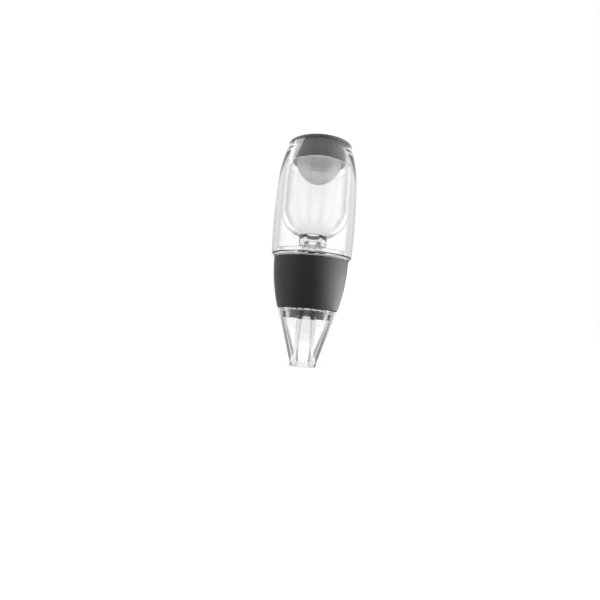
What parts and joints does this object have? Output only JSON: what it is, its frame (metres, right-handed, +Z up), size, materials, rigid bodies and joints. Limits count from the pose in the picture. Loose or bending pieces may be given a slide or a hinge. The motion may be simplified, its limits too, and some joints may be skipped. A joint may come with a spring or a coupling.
{
  "type": "wine aerator",
  "caption": "Hand-held pour-through wine aerator: clear barrel with mesh strainer and inner funnel, soft grip band over a venturi mixer, clear cone outlet.",
  "frame": {"origin": "centre of the outlet's lower face, at the tip", "axes": "+Z up along the axis from the tip to the mouth; the side air inlets lie along X; -Y is the front"},
  "size_m": [0.0548, 0.0548, 0.1494],
  "materials": {
    "clear_plastic": "clear polished acrylic",
    "black_plastic": "satin moulded",
    "rim_plastic": "satin moulded",
    "grey_plastic": "satin moulded",
    "black_silicone": "matte silicone",
    "seal_rubber": "smooth O-ring rubber",
    "steel_mesh": "woven stainless mesh"
  },
  "bodies": {
    "lower_body": {"lower_cone": "clear_plastic", "socket_ring": "clear_plastic", "diffuser_tube": "clear_plastic", "tube_seal": "seal_rubber"},
    "grip": {"grip_band": "black_silicone"},
    "mixer": {"mixer_body": "black_plastic", "collar_plate": "black_plastic", "throat_insert": "grey_plastic", "air_tube_left": "grey_plastic", "air_tube_right": "grey_plastic"},
    "reservoir": {"base_plate": "clear_plastic", "nozzle_seal": "seal_rubber", "barrel_shell": "clear_plastic", "inner_funnel": "clear_plastic"},
    "strainer": {"rim_ring": "rim_plastic", "strainer_mesh": "steel_mesh", "mesh_retainer": "rim_plastic"}
  },
  "joints": [
    {"name": "grip_lift", "type": "slide", "parent": "lower_body", "child": "grip", "axis": [0, 0, 1], "range_m": [0, 0.02]},
    {"name": "mixer_lift", "type": "slide", "parent": "grip", "child": "mixer", "axis": [0, 0, 1], "range_m": [0, 0.045]},
    {"name": "reservoir_lift", "type": "slide", "parent": "mixer", "child": "reservoir", "axis": [0, 0, 1], "range_m": [0, 0.02]},
    {"name": "strainer_lift", "type": "slide", "parent": "reservoir", "child": "strainer", "axis": [0, 0, 1], "range_m": [0, 0.03]}
  ]
}
